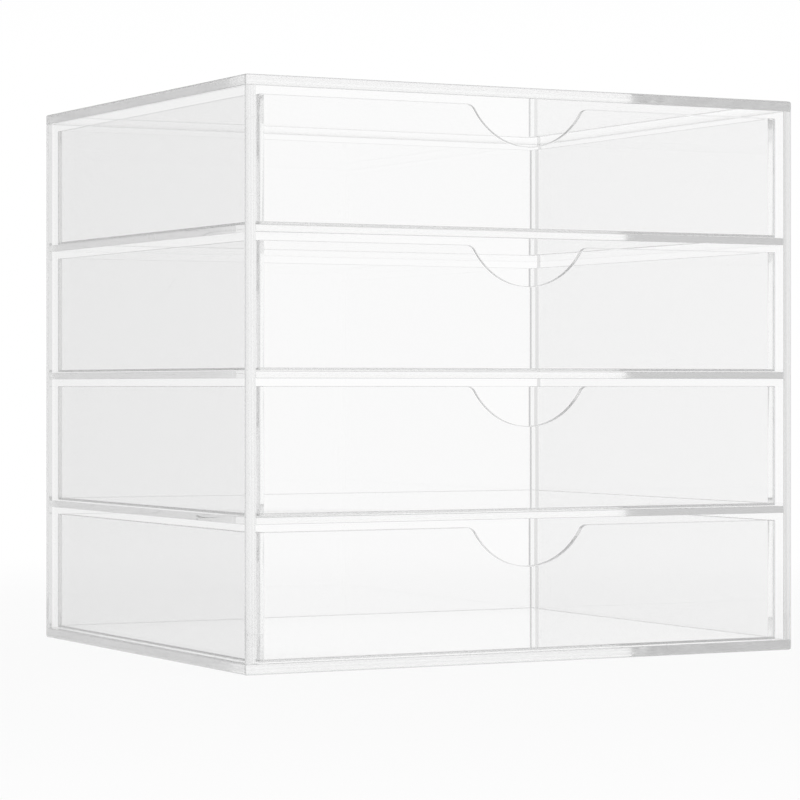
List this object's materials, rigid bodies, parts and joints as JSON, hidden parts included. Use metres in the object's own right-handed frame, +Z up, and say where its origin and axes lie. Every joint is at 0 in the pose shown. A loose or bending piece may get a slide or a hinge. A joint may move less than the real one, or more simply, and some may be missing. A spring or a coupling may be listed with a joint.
{
  "type": "acrylic drawer organizer",
  "caption": "Clear acrylic desktop organizer: open-fronted case of cemented sheet with shelves, and pull-out drawers with finger notches, for makeup and small items.",
  "frame": {"origin": "on the table, under the middle of the case", "axes": "+X to the right seen from the front, +Y to the back, +Z up; the drawers pull out towards -Y"},
  "size_m": [0.2794, 0.2286, 0.254],
  "materials": {
    "case_acrylic": "clear polished acrylic sheet, 4.76 mm",
    "shelf_acrylic": "clear polished acrylic sheet, 3.18 mm",
    "drawer_acrylic": "clear polished acrylic sheet, 3 mm",
    "floor_acrylic": "clear polished acrylic sheet, 1 mm"
  },
  "bodies": {
    "case": {"top_panel": "case_acrylic", "base_panel": "case_acrylic", "back_panel": "case_acrylic", "left_side_panel": "case_acrylic", "right_side_panel": "case_acrylic", "shelf_1": "shelf_acrylic", "shelf_2": "shelf_acrylic", "shelf_3": "shelf_acrylic"},
    "drawer_1": {"drawer_1_front": "drawer_acrylic", "drawer_1_left_side": "drawer_acrylic", "drawer_1_right_side": "drawer_acrylic", "drawer_1_back": "drawer_acrylic", "drawer_1_floor": "floor_acrylic"},
    "drawer_2": {"drawer_2_front": "drawer_acrylic", "drawer_2_left_side": "drawer_acrylic", "drawer_2_right_side": "drawer_acrylic", "drawer_2_back": "drawer_acrylic", "drawer_2_floor": "floor_acrylic"},
    "drawer_3": {"drawer_3_front": "drawer_acrylic", "drawer_3_left_side": "drawer_acrylic", "drawer_3_right_side": "drawer_acrylic", "drawer_3_back": "drawer_acrylic", "drawer_3_floor": "floor_acrylic"},
    "drawer_4": {"drawer_4_front": "drawer_acrylic", "drawer_4_left_side": "drawer_acrylic", "drawer_4_right_side": "drawer_acrylic", "drawer_4_back": "drawer_acrylic", "drawer_4_floor": "floor_acrylic"}
  },
  "joints": [
    {"name": "drawer_1_slide", "type": "slide", "parent": "case", "child": "drawer_1", "axis": [0, -1, 0], "range_m": [0, 0.165]},
    {"name": "drawer_2_slide", "type": "slide", "parent": "case", "child": "drawer_2", "axis": [0, -1, 0], "range_m": [0, 0.165]},
    {"name": "drawer_3_slide", "type": "slide", "parent": "case", "child": "drawer_3", "axis": [0, -1, 0], "range_m": [0, 0.165]},
    {"name": "drawer_4_slide", "type": "slide", "parent": "case", "child": "drawer_4", "axis": [0, -1, 0], "range_m": [0, 0.165]}
  ]
}
